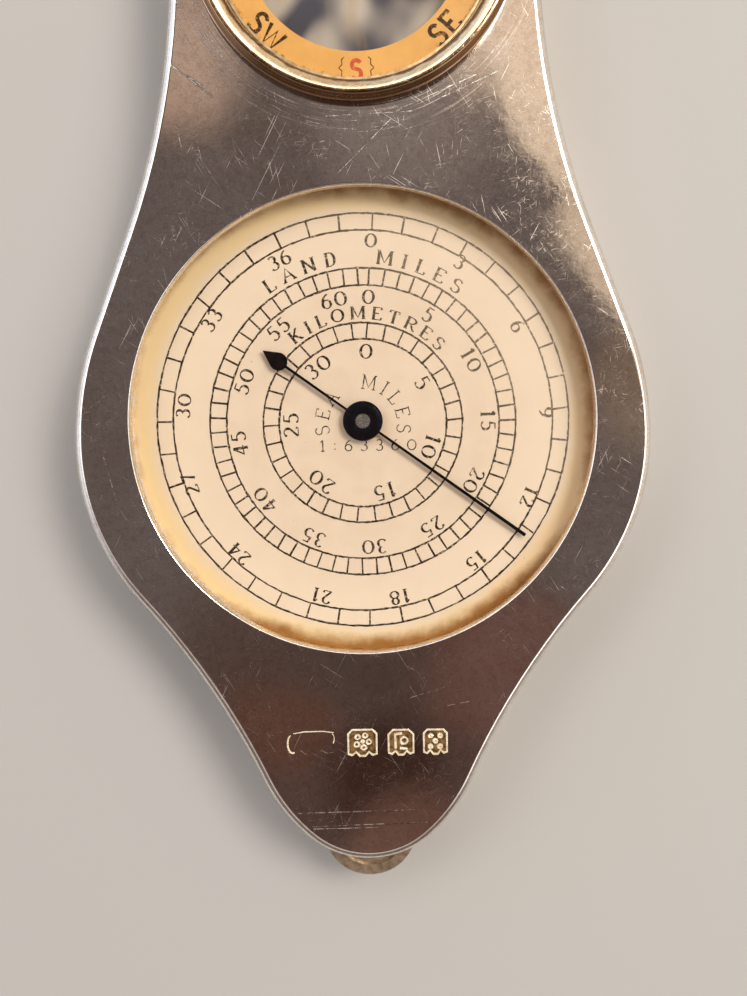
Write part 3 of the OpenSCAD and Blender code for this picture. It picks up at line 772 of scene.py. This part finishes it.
def mark_outline(middle, width, height, clip, inset=0):
    """A little tablet with cut corners and a notched foot, as the frame of a struck mark."""
    w, h = width / 2 - inset, height / 2 - inset
    corners = [
        (w, h - clip), (w - clip, h), (clip - w, h), (-w, h - clip), (-w, -h + 0.1),
        (-w * 0.72, -h), (-w * 0.45, -h + 0.26), (-w * 0.2, -h - 0.08), (w * 0.2, -h - 0.08),
        (w * 0.45, -h + 0.26), (w * 0.72, -h), (w, -h + 0.1),
    ]
    return [(middle + x, MARK_Y + y) for x, y in corners]


# A mark is (x of its middle, width, height, size of its cut corners)
MARK_Y = -27.0
MARK_DEPTH = 0.16
WORN_DEPTH = 0.035
MARKS = ((-0.5, 2.45, 2.25, 0.35), (2.75, 2.15, 2.15, 0.4), (5.65, 2.0, 2.1, 0.3))
WORN_MARK = (-4.85, 3.9, 1.8, 0.5)


def silver_front():
    """The front pressing: a face and its wall in one sheet, rounded over all the way round."""
    shell = plate("silver_front", case_outline(0), COVER_T, CASE_H)
    round_rim(shell, CASE_H, EDGE_R, 8)
    round_rim(shell, COVER_T, SEAM_R, 2)
    hollow = plate("hollow", case_outline(SHEET), COVER_T - 1, CASE_H - SHEET)
    cut_away(shell, hollow)
    cut_away(shell, rounded_window())
    well_r = BOWL_R + FIT_GAP
    cut_away(shell, turned("well", [(well_r, OPENING_LOW), (well_r, OPENING_HIGH)], (0, COMPASS_Y), 160))
    slot_r = WHEEL_R + SLOT_GAP
    slot_low, slot_high = WHEEL_LOW - SLOT_GAP, WHEEL_LOW + WHEEL_T + SLOT_GAP
    cut_away(shell, turned("slot", [(slot_r, slot_low), (slot_r, slot_high)], (0, WHEEL_Y), 96))
    for mark in (*MARKS, WORN_MARK):
        depth = WORN_DEPTH if mark is WORN_MARK else MARK_DEPTH
        cut_away(shell, plate("pocket", mark_outline(*mark), CASE_H - depth, CASE_H + 1))
    return settle(shell, 32)


def silver_back():
    """The back pressing, which closes the case."""
    cover = plate("silver_back", case_outline(0), 0, COVER_T)
    round_rim(cover, 0, EDGE_R * 0.8, 8)
    round_rim(cover, COVER_T, SEAM_R, 2)
    return settle(cover, 32)


add_piece(silver_front(), "case", SILVER, "silver", "front_shell")
add_piece(silver_back(), "case", SILVER, "silver", "back_cover")


def worn_relief():
    """The struck figures inside the marks, worn soft: they stand for no real mark. A ridge of
    displaced silver runs round each tablet, and only part of it is left round the worn one."""
    pen = Pen("mark_relief", 0.30, 0.20, CASE_H - MARK_DEPTH)
    for mark in MARKS:
        frame_line = mark_outline(*mark, inset=0.03)
        pen.stroke(rise(frame_line, MARK_DEPTH - 0.04), [0.11] * len(frame_line), closed=True)
    x, width, height = WORN_MARK[:3]
    left, right, top = x - width / 2, x + width / 2, MARK_Y + height / 2
    crest = [(left + 0.5, top - 0.05), (left + 1.4, top + 0.1), (right - 0.9, top + 0.12), (right, top)]
    left_hook = arc(left + 0.4, MARK_Y - 0.05, 0.42, 0.8, 110, 290)
    right_hook = arc(right - 0.25, MARK_Y + 0.35, 0.28, 0.5, 70, -50)
    for line, widths in (
        (crest, [0.05, 0.07, 0.06, 0.05]),
        (left_hook, [0.05] + [0.08] * (len(left_hook) - 1)),
        (right_hook, [0.05] * len(right_hook)),
    ):
        pen.stroke(rise(line, MARK_DEPTH - 0.03), widths)
    x = MARKS[0][0]
    for clock in range(25, 385, 72):
        petal = Vector((x, MARK_Y + 0.05)) + outward(clock) * 0.55
        pen.ring(petal, 0.2, 0.22, 10)
    pen.ring(Vector((x, MARK_Y + 0.05)), 0.12, 0.24, 8)
    x = MARKS[1][0]
    pen.stroke([(x - 0.45, MARK_Y - 0.6), (x - 0.5, MARK_Y + 0.6), (x + 0.1, MARK_Y + 0.7)], [0.15] * 3)
    pen.ring(Vector((x + 0.25, MARK_Y + 0.05)), 0.3, 0.26, 12)
    pen.stroke([(x - 0.1, MARK_Y - 0.6), (x + 0.55, MARK_Y - 0.65)], [0.14, 0.1])
    x = MARKS[2][0]
    for dx, dy in ((-0.4, 0.45), (0.4, 0.45), (0, 0), (-0.4, -0.5), (0.4, -0.5)):
        pen.ring(Vector((x + dx, MARK_Y + dy)), 0.15, 0.26, 8)
    return pen.lay_down(1.0)


def rubbed_marks():
    """Pale raised silver that a century of cleaning has left matt and yellowish; its near-white cream is
    partly a painted highlight for the light that the ridges catch.
    """
    s = Shader("rubbed_marks")
    drift = s.ramp(s.noise(3.0, 4.0), 0.35, 0.7)
    # Painted highlight: a near-white cream with little metal shine keeps the ridges bright.
    s.set(Base_Color=s.mix(drift, (1.0, 0.92, 0.74, 1), (0.72, 0.57, 0.36, 1)), Metallic=0.15)
    s.set(Roughness=0.3)
    return s.material


add_piece(worn_relief(), "case", rubbed_marks(), "silver")


def tarnish():
    """Brown tarnish that has stayed in the sunk marks."""
    s = Shader("tarnish_in_marks")
    blot = s.ramp(s.noise(2.5, 4.0), 0.4, 0.65)
    s.set(Base_Color=s.mix(blot, (0.34, 0.20, 0.075, 1), (0.10, 0.055, 0.022, 1)), Metallic=0.6)
    s.set(Roughness=0.45)
    return s.material


def mark_floors():
    """Thin films of tarnish that lie on the floors of the marks."""
    films = []
    floor_z = CASE_H - MARK_DEPTH
    for mark in MARKS:
        films.append(plate("mark_floors", mark_outline(*mark, inset=0.02), floor_z - 0.02, floor_z + 0.012))
    clear_selection()
    for film in films:
        film.select_set(True)
    bpy.context.view_layer.objects.active = films[0]
    bpy.ops.object.join()
    return settle(films[0], 30, weighted=False)


add_piece(mark_floors(), "case", tarnish(), "silver")


def block(name, half, centre, bevel):
    """A block with rounded edges, from its half sizes."""
    clear_selection()
    bpy.ops.mesh.primitive_cube_add(size=2 * MM, location=Vector(centre) * MM, scale=half)
    obj = bpy.context.object
    obj.name = name
    bpy.ops.object.transform_apply(location=True, scale=True)
    bpy.ops.object.mode_set(mode="EDIT")
    bpy.ops.mesh.select_all(action="SELECT")
    bpy.ops.mesh.bevel(offset=bevel * MM, segments=4, profile=0.5)
    bpy.ops.object.mode_set(mode="OBJECT")
    return obj


def lay_across(obj):
    """Turns a piece made on the upright axis onto the lug's cross axis."""
    pick(obj)
    bpy.ops.object.transform_apply(location=True)
    obj.rotation_euler = (0, math.pi / 2, 0)
    obj.location = (0, LUG_Y * MM, LUG_Z * MM)
    bpy.ops.object.transform_apply(location=True, rotation=True)


def suspension_lug():
    """The lug: a soldered flange, a neck and a rounded eye bored across for the ring."""
    head_y = COMPASS_Y + HEAD_R
    lug = block("lug", (1.75, 0.6, 1.75), (0, head_y - 0.15, LUG_Z), 0.22)
    merge(lug, block("neck", (LUG_HALF_W, 1.1, LUG_R), (0, LUG_Y - 1.2, LUG_Z), 0.25))
    eye = turned("eye", [
        (LUG_R - 0.45, -LUG_HALF_W), (LUG_R - 0.15, 0.12 - LUG_HALF_W), (LUG_R, 0.4 - LUG_HALF_W),
        (LUG_R, LUG_HALF_W - 0.4), (LUG_R - 0.15, LUG_HALF_W - 0.12), (LUG_R - 0.45, LUG_HALF_W),
    ], sides=64)
    lay_across(eye)
    merge(lug, eye)
    hole = LUG_HOLE_R + FIT_GAP
    bore = turned("bore", [
        (hole + 0.3, -LUG_HALF_W - 0.2), (hole + 0.22, -LUG_HALF_W), (hole, 0.3 - LUG_HALF_W),
        (hole, LUG_HALF_W - 0.3), (hole + 0.22, LUG_HALF_W), (hole + 0.3, LUG_HALF_W + 0.2),
    ], sides=48)
    lay_across(bore)
    cut_away(lug, bore)
    return settle(lug, 35)


def suspension_loop():
    """The round wire ring, which leans down from the lug until it touches the table."""
    drop = math.asin((LUG_Z - WIRE_R) / (2 * RING_R))
    clear_selection()
    bpy.ops.mesh.primitive_torus_add(
        major_segments=160, minor_segments=32, major_radius=RING_R * MM, minor_radius=WIRE_R * MM,
        location=(0, (LUG_Y + RING_R * math.cos(drop)) * MM, (LUG_Z - RING_R * math.sin(drop)) * MM),
        rotation=(-drop, 0, 0),
    )
    ring = bpy.context.object
    ring.name = "ring"
    return settle(ring, 180)


add_piece(suspension_lug(), "case", SILVER, "silver", "suspension_lug")
add_piece(suspension_loop(), "ring", SILVER, "silver", "suspension_ring")


# ------------------------ dial

CENTRE = Vector((0, WINDOW_Y))
INK = (0.026, 0.014, 0.008)
CARD_TONE = (0.78, 0.64, 0.49)

# A scale is (outer radius, inner radius, divisions, degrees to a division, numbered every,
# last number, radius under the numbers, height of the numbers). The numbers of the outermost
# scale stray from their lines: (degrees clockwise, mm outwards) for each in turn
MILE_SCALE = (17.36, 16.0, 39, 360 / 39, 3, 36, 14.62, 1.15)
KILOMETRE_SCALE = (12.9, 11.5, 62.76, 360 / 62.76, 5, 60, 9.98, 1.2)
SEA_MILE_SCALE = (8.4, 7.06, 33.87, 360 / 33.87, 5, 30, 5.45, 1.25)
STRAYS = (
    (0, 0), (0.9, 0.45), (0, 0.1), (1.0, 0.3), (0.5, 0.25), (-0.6, 0), (-0.7, 0), (-2.9, 0),
    (-0.6, 0.15), (-1.2, 0.35), (-4.0, 0), (-2.9, 0.1), (-2.0, 0),
)


def dial_scale(pen, scale, strays):
    """Two rings with a cross line at each division, and the numbers inside them."""
    outer, inner, divisions, step, every, last, under, height = scale
    pen.ring(CENTRE, outer, 0.17, 300)
    pen.ring(CENTRE, inner, 0.17, 300)
    for i in range(math.ceil(divisions)):
        pen.tick(CENTRE, inner, outer, DIAL_TURN + i * step, 0.16)
    for number in range(0, last + 1, every):
        turn, lift = strays[number // every] if strays else (0, 0)
        clock = DIAL_TURN + number * step + turn
        out = outward(clock)
        pen.straight(str(number), height, CENTRE + out * (under + lift), out, 0.26)


def dial_print():
    """The three scales and their legends, engraved by hand in dark brown ink."""
    pen = Pen("dial_print", 0.23, 0.09, CARD_Z, wide=1.12)
    dial_scale(pen, MILE_SCALE, STRAYS)
    dial_scale(pen, KILOMETRE_SCALE, None)
    dial_scale(pen, SEA_MILE_SCALE, None)
    pen.wide = 1.4
    pen.words("LAND MILES", 1.1, CENTRE, 13.3, DIAL_TURN - 2.5, gap=0.6, space=1.6)
    pen.words("KILOMETRES", 1.0, CENTRE, 8.72, DIAL_TURN, gap=0.45)
    pen.thick, pen.wide = 0.055, 1.2
    pen.words("SEA MILES", 1.15, CENTRE, 2.9, DIAL_TURN - 4, gap=0.28, space=1.1)
    pen.straight("1:63360", 0.92, Vector((0.4, -2.5)), Vector((0, 1)), 0.72)
    return pen.lay_down(0.08)


add_piece(dial_print(), "case", printing_ink("dial_ink", INK, CARD_TONE, faded=0.3), "dial_card")


def crystal():
    """The dial's glass: a flange under the face and a flat boss with a ground bevel."""
    flange = turned("crystal", [
        (FLANGE_R - 0.08, GLASS_LOW + 0.01), (FLANGE_R, GLASS_LOW + 0.08), (FLANGE_R, GLASS_LOW + 0.57),
    ], sides=160)
    merge(flange, turned("boss", [
        (GLASS_R, GLASS_LOW + 0.3), (GLASS_R, GLASS_TOP - GLASS_BEVEL),
        (GLASS_R - 0.06, GLASS_TOP - GLASS_BEVEL * 0.6),
        (GLASS_R - GLASS_BEVEL * 0.6, GLASS_TOP - 0.06), (GLASS_R - GLASS_BEVEL, GLASS_TOP),
    ], (0, WINDOW_Y), 160))
    return settle(flange, 25)


GLASS = watch_glass()
add_piece(crystal(), "case", GLASS, "glass", "dial_glass")


def hub():
    """The pointer's turned boss, domed at its edge, with the arbor showing in its bore."""
    bore, low, top = 0.64, 6.1, 6.44
    profile = [
        (bore, low), (1.5, low), (1.62, low + 0.04), (1.67, low + 0.12), (1.63, low + 0.21),
        (1.50, low + 0.29), (1.25, top), (0.82, top), (0.72, top - 0.03), (bore, top - 0.10),
    ]
    return settle(turned("hub", profile + profile[:1], sides=96), 40)


BLUED = blued_steel("blued_steel", (0.003, 0.003, 0.011), (0.16, 0.12, 0.11))
add_piece(hub(), "pointer_train", BLUED, "blued_steel", "pointer_hub")


# ------------------------ compass

COMPASS = Vector((0, COMPASS_Y))


def bezel():
    """The gilt bezel: a ring that slopes gently down to a thin lip over the compass glass, and
    rounds over more steeply to its outside."""
    inner = BEZEL_R - BEZEL_W
    section = (
        (0.42, 0.01), (BEZEL_W - 0.03, 0.01), (BEZEL_W, 0.06), (BEZEL_W, 0.5), (1.62, 0.78),
        (1.54, 1.03), (1.42, 1.22), (1.28, 1.34), (1.16, 1.39), (1.04, 1.40), (0.92, 1.38),
        (0.60, 1.26), (0.32, 1.14), (0.22, 1.07), (0.15, 0.95), (0.08, 0.86), (0.04, 0.78),
        (0.04, 0.68), (0.08, 0.62), (0.42, 0.62),
    )
    profile = [(inner + r, CASE_H + z) for r, z in section]
    return settle(turned("bezel", profile + profile[:1], COMPASS, 192), 30)


def compass_crystal():
    """The flat glass over the compass."""
    rim, low, top = BOWL_R - 0.12, CASE_H + 0.01, CASE_H + 0.6
    profile = [(rim - 0.05, low), (rim, low + 0.05), (rim, top - 0.05), (rim - 0.05, top)]
    return settle(turned("compass_crystal", profile, COMPASS), 30)


add_piece(bezel(), "case", gilt(), "gilt_brass", "compass_bezel")
add_piece(compass_crystal(), "case", GLASS, "glass", "compass_glass")


def compass_letters(name, size, texts):
    """Letters a quarter turn apart on the ring card, their tops towards the needle."""
    pen = Pen(name, 0.32, 0.32, RING_CARD_Z, wide=1.15)
    for clock, text in texts:
        pen.words(text, size, COMPASS, LETTER_R, clock, gap=0.2, inward=True)
    return pen.lay_down(0.06)


def cardinal_brackets():
    """Thin curly brackets on both sides of each red letter."""
    pen = Pen("cardinal_brackets", 0.10, 0.07, RING_CARD_Z)
    for clock in (0, 90, 180, 270):
        out = outward(clock)
        across = Vector((-out.y, out.x))
        for side, char in ((-1.2, "{"), (1.2, "}")):
            pen.sign(char, 1.5, COMPASS + out * 10.8 + across * side, -out)
    return pen.lay_down(0.1)


ORANGE = (0.74, 0.40, 0.09)
DIAGONALS = ((45, "NE"), (135, "SE"), (225, "SW"), (315, "NW"))
CARDINALS = ((0, "N"), (90, "E"), (180, "S"), (270, "W"))
for piece, ink, colour, worn in (
    (compass_letters("compass_letters", 1.65, DIAGONALS), "compass_ink", (0.05, 0.022, 0.012), 0.74),
    (compass_letters("cardinal_letters", 1.45, CARDINALS), "compass_red", (0.62, 0.10, 0.05), 0.66),
    (cardinal_brackets(), "bracket_ink", (0.10, 0.05, 0.02), 0.70),
):
    add_piece(piece, "case", printing_ink(ink, colour, ORANGE, worn), "compass_card")


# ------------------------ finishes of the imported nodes

BRASS = plain_metal("movement_brass", (0.78, 0.57, 0.27), (0.52, 0.36, 0.16), 0.28)
STEEL = plain_metal("arbor_steel", (0.58, 0.57, 0.56), (0.38, 0.36, 0.35), 0.22)
BRONZE = plain_metal("bush_bronze", (0.66, 0.42, 0.25), (0.42, 0.25, 0.14), 0.3)
POSTS = plain_metal("silver_posts", (0.85, 0.81, 0.76), (0.6, 0.54, 0.47), 0.3)
WHEEL = plain_metal("worn_wheel", (0.66, 0.54, 0.40), (0.40, 0.30, 0.20), 0.36)
NEEDLE = plain_metal("needle_steel", (0.10, 0.13, 0.26), (0.05, 0.05, 0.09), 0.25, brushed=(1, 0.2, 1))
HAND = blued_steel("hand_steel", (0.016, 0.008, 0.006), (0.07, 0.035, 0.025))
SPACER = plain_metal("spacer_brass", (0.86, 0.72, 0.50), (0.55, 0.40, 0.22), 0.35)

NODE_FINISH = {
    "dial_card": aged_paper(),
    "compass_ring_card": compass_card_paint(),
    "compass_base_plate": compass_floor(),
    "tracing_wheel": WHEEL,
    "pointer_hand": HAND,
    "compass_needle": NEEDLE,
    "case_posts": POSTS,
    "wheel_front_bush": BRONZE,
    "pivot_bushes": BRONZE,
    "dial_spacer_ring": SPACER,
    "compass_spacer_ring": SPACER,
    "compass_pivot": STEEL,
}
for name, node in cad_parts.items():
    steel = name.endswith(("_arbor", "_screws"))
    node.data.materials.clear()
    node.data.materials.append(NODE_FINISH.get(name, STEEL if steel else BRASS))


# ------------------------ camera, light and floor


def pale_floor():
    """A plain pale table top, well beyond the picture."""
    clear_selection()
    bpy.ops.mesh.primitive_circle_add(vertices=96, radius=1.2, fill_type="NGON", location=(0, 0, -1e-5))
    floor = bpy.context.object
    floor.name = "floor"
    s = Shader("floor_paint")
    s.set(Base_Color=(0.50, 0.49, 0.475, 1), Roughness=0.8)
    floor.data.materials.append(s.material)


def camera():
    """A phone held almost straight above the dial."""
    data = bpy.data.cameras.new("camera")
    data.sensor_width = 36
    data.lens = 33.07
    data.clip_start = 0.01
    data.clip_end = 20
    cam = bpy.data.objects.new("camera", data)
    cam.location = Vector((0.9, 0.17, 83.06)) * MM
    cam.rotation_euler = [math.radians(a) for a in (-4.95, 0, -0.98)]
    bpy.context.collection.objects.link(cam)
    bpy.context.scene.camera = cam


def area_light(name, place, size, watts, colour):
    """A square soft light that faces the dial."""
    data = bpy.data.lights.new(name, "AREA")
    data.size = size
    data.energy = watts
    data.color = colour
    light = bpy.data.objects.new(name, data)
    light.location = place
    light.rotation_euler = (-Vector(place)).to_track_quat("-Z", "Y").to_euler()
    bpy.context.collection.objects.link(light)


# How far the camera is above the face, in mm
CAMERA_REACH = 75

# The room straight above, which the flat silver mirrors: (place on the face that shows it in mm,
# reach in mm, width of its soft edge, colour), laid over one another from the first to the last
OVERHEAD = (
    ((-16.0, 29.5), 6.0, 5.0, (0.48, 0.34, 0.26)),
    ((3.5, 25.5), 7.5, 6.0, (0.215, 0.17, 0.152)),
    ((0.0, -34.0), 22.0, 12.0, (0.085, 0.053, 0.043)),
    ((-2.0, -23.0), 6.5, 5.0, (0.082, 0.054, 0.046)),
    ((11.0, -21.0), 7.0, 5.0, (0.145, 0.078, 0.063)),
    ((-8.5, -26.0), 4.0, 3.5, (0.115, 0.055, 0.04)),
    ((0.0, -30.0), 5.0, 4.0, (0.048, 0.024, 0.018)),
    ((2.0, -36.0), 5.0, 4.0, (0.16, 0.085, 0.065)),
    ((24.5, 3.0), 6.5, 5.0, (0.22, 0.16, 0.12)),
    ((40.8, 36.2), 31.3, 0.8, (0.80, 0.62, 0.46)),
    ((24.0, 15.5), 9.0, 1.0, (0.66, 0.51, 0.375)),
    ((14.0, 35.0), 9.0, 6.0, (0.90, 0.71, 0.54)),
)


def room():
    """The room's light. The ceiling is dark and uneven, and a bright collar round it lights the
    dial, least from below. The walls are cool and bright at the upper left, warm on the right
    and dark below."""
    world = bpy.data.worlds.new("room")
    bpy.context.scene.world = world
    s = Nodes(world, "Generated")
    way = s.place
    split = s.add("SeparateXYZ", {0: way})
    up = s.math("MAXIMUM", split.outputs[2], 0.05)
    share = s.add("CombineXYZ", {0: up, 1: up, 2: 1.0})
    spot = s.vector("DIVIDE", s.vector("MULTIPLY", way, (CAMERA_REACH, CAMERA_REACH, 0)), share.outputs[0])
    wobble = s.add("TexNoise", {"Vector": spot, "Scale": 0.09, "Detail": 4.0}).outputs["Color"]
    drift = s.vector("MULTIPLY", s.vector("SUBTRACT", wobble, (0.5, 0.5, 0.5)), (6, 6, 0))
    spot = s.vector("ADD", spot, drift)
    tone = (0.13, 0.102, 0.093, 1)
    for (x, y), reach, soft, colour in OVERHEAD:
        away = s.vector("LENGTH", s.vector("SUBTRACT", spot, (x, y, 0)))
        tone = s.mix(s.ramp(away, reach + soft / 2, reach - soft / 2), tone, (*colour, 1))
    collar = s.ramp(split.outputs[2], 0.76, 0.83, 1.0, 0.0)
    shaded = s.ramp(s.vector("DOT_PRODUCT", way, (-0.35, -0.94, 0)), 0.12, 0.5)
    bright = s.mix(shaded, (2.62, 2.52, 2.44, 1), (0.60, 0.50, 0.46, 1))
    tone = s.mix(collar, tone, bright)
    right = s.ramp(s.vector("DOT_PRODUCT", way, (0.85, 0.5, 0)), 0.0, 0.75)
    left = s.ramp(s.vector("DOT_PRODUCT", way, (-0.85, 0.5, 0)), 0.3, 0.85)
    walls = s.mix(right, (0.20, 0.16, 0.14, 1), (0.82, 0.72, 0.60, 1))
    walls = s.mix(left, walls, (0.95, 1.02, 1.16, 1))
    tone = s.mix(s.ramp(split.outputs[2], 0.58, 0.64, 1.0, 0.0), tone, walls)
    s.links.new(tone, s.nodes["Background"].inputs["Color"])


pale_floor()
camera()
area_light("window_light", (0.21, 0.15, 0.36), 0.14, 1.0, (1.0, 0.92, 0.80))
room()
bpy.context.scene.view_settings.view_transform = "Standard"
